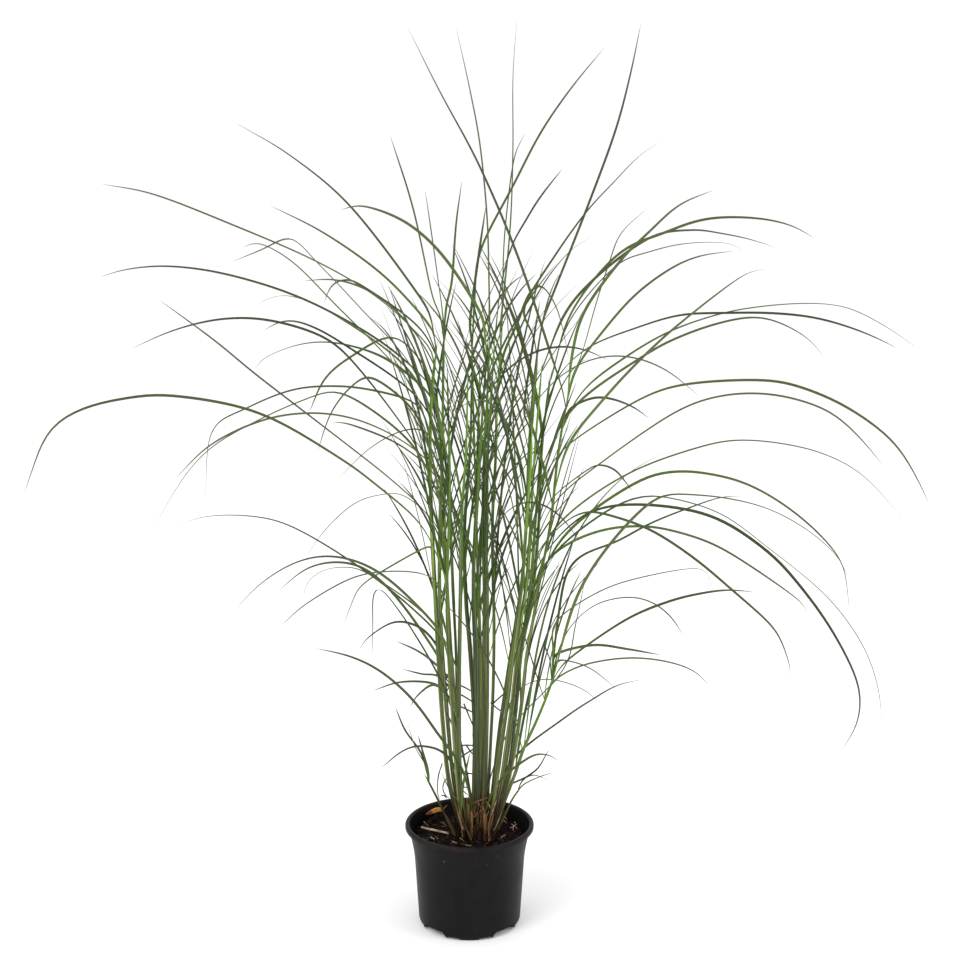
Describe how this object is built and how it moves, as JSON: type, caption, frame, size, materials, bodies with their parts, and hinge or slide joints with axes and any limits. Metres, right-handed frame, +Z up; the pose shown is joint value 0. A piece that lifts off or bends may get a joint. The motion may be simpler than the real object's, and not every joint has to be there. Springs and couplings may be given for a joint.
{
  "type": "potted ornamental grass",
  "caption": "Ornamental grass with tall green culms and long, narrow arching blades, growing in the soil of a round black nursery pot.",
  "frame": {"origin": "middle of the pot's underside, on the pot's axis, at the level of the floor it stands on", "axes": "+Z up along the pot's axis, front towards -Y, +X to the right seen from the front"},
  "size_m": [1.2649, 1.0843, 1.3126],
  "materials": {
    "black_plastic": "satin",
    "potting_soil": "matte",
    "green_grass": "satin",
    "dry_straw": "matte",
    "dead_leaf": "matte"
  },
  "bodies": {
    "root": {"pot": "black_plastic", "soil": "potting_soil", "shoot_01": "green_grass", "shoot_02": "green_grass", "shoot_03": "green_grass", "shoot_04": "green_grass", "shoot_05": "green_grass", "shoot_06": "green_grass", "shoot_07": "green_grass", "shoot_08": "green_grass", "shoot_09": "green_grass", "shoot_10": "green_grass", "shoot_11": "green_grass", "shoot_12": "green_grass", "shoot_13": "green_grass", "shoot_14": "green_grass", "shoot_15": "green_grass", "shoot_16": "green_grass", "shoot_17": "green_grass", "shoot_18": "green_grass", "shoot_19": "green_grass", "shoot_20": "green_grass", "basal_shoot_left": "green_grass", "basal_shoot_front": "green_grass", "basal_shoot_right": "green_grass", "dead_stub_1": "dry_straw", "dead_stub_2": "dry_straw", "dead_stub_3": "dry_straw", "dead_stub_4": "dry_straw", "dead_stub_5": "dry_straw", "dead_stub_6": "dry_straw", "straw_long": "dry_straw", "straw_short": "dry_straw", "fallen_leaf": "dead_leaf"}
  },
  "joints": []
}
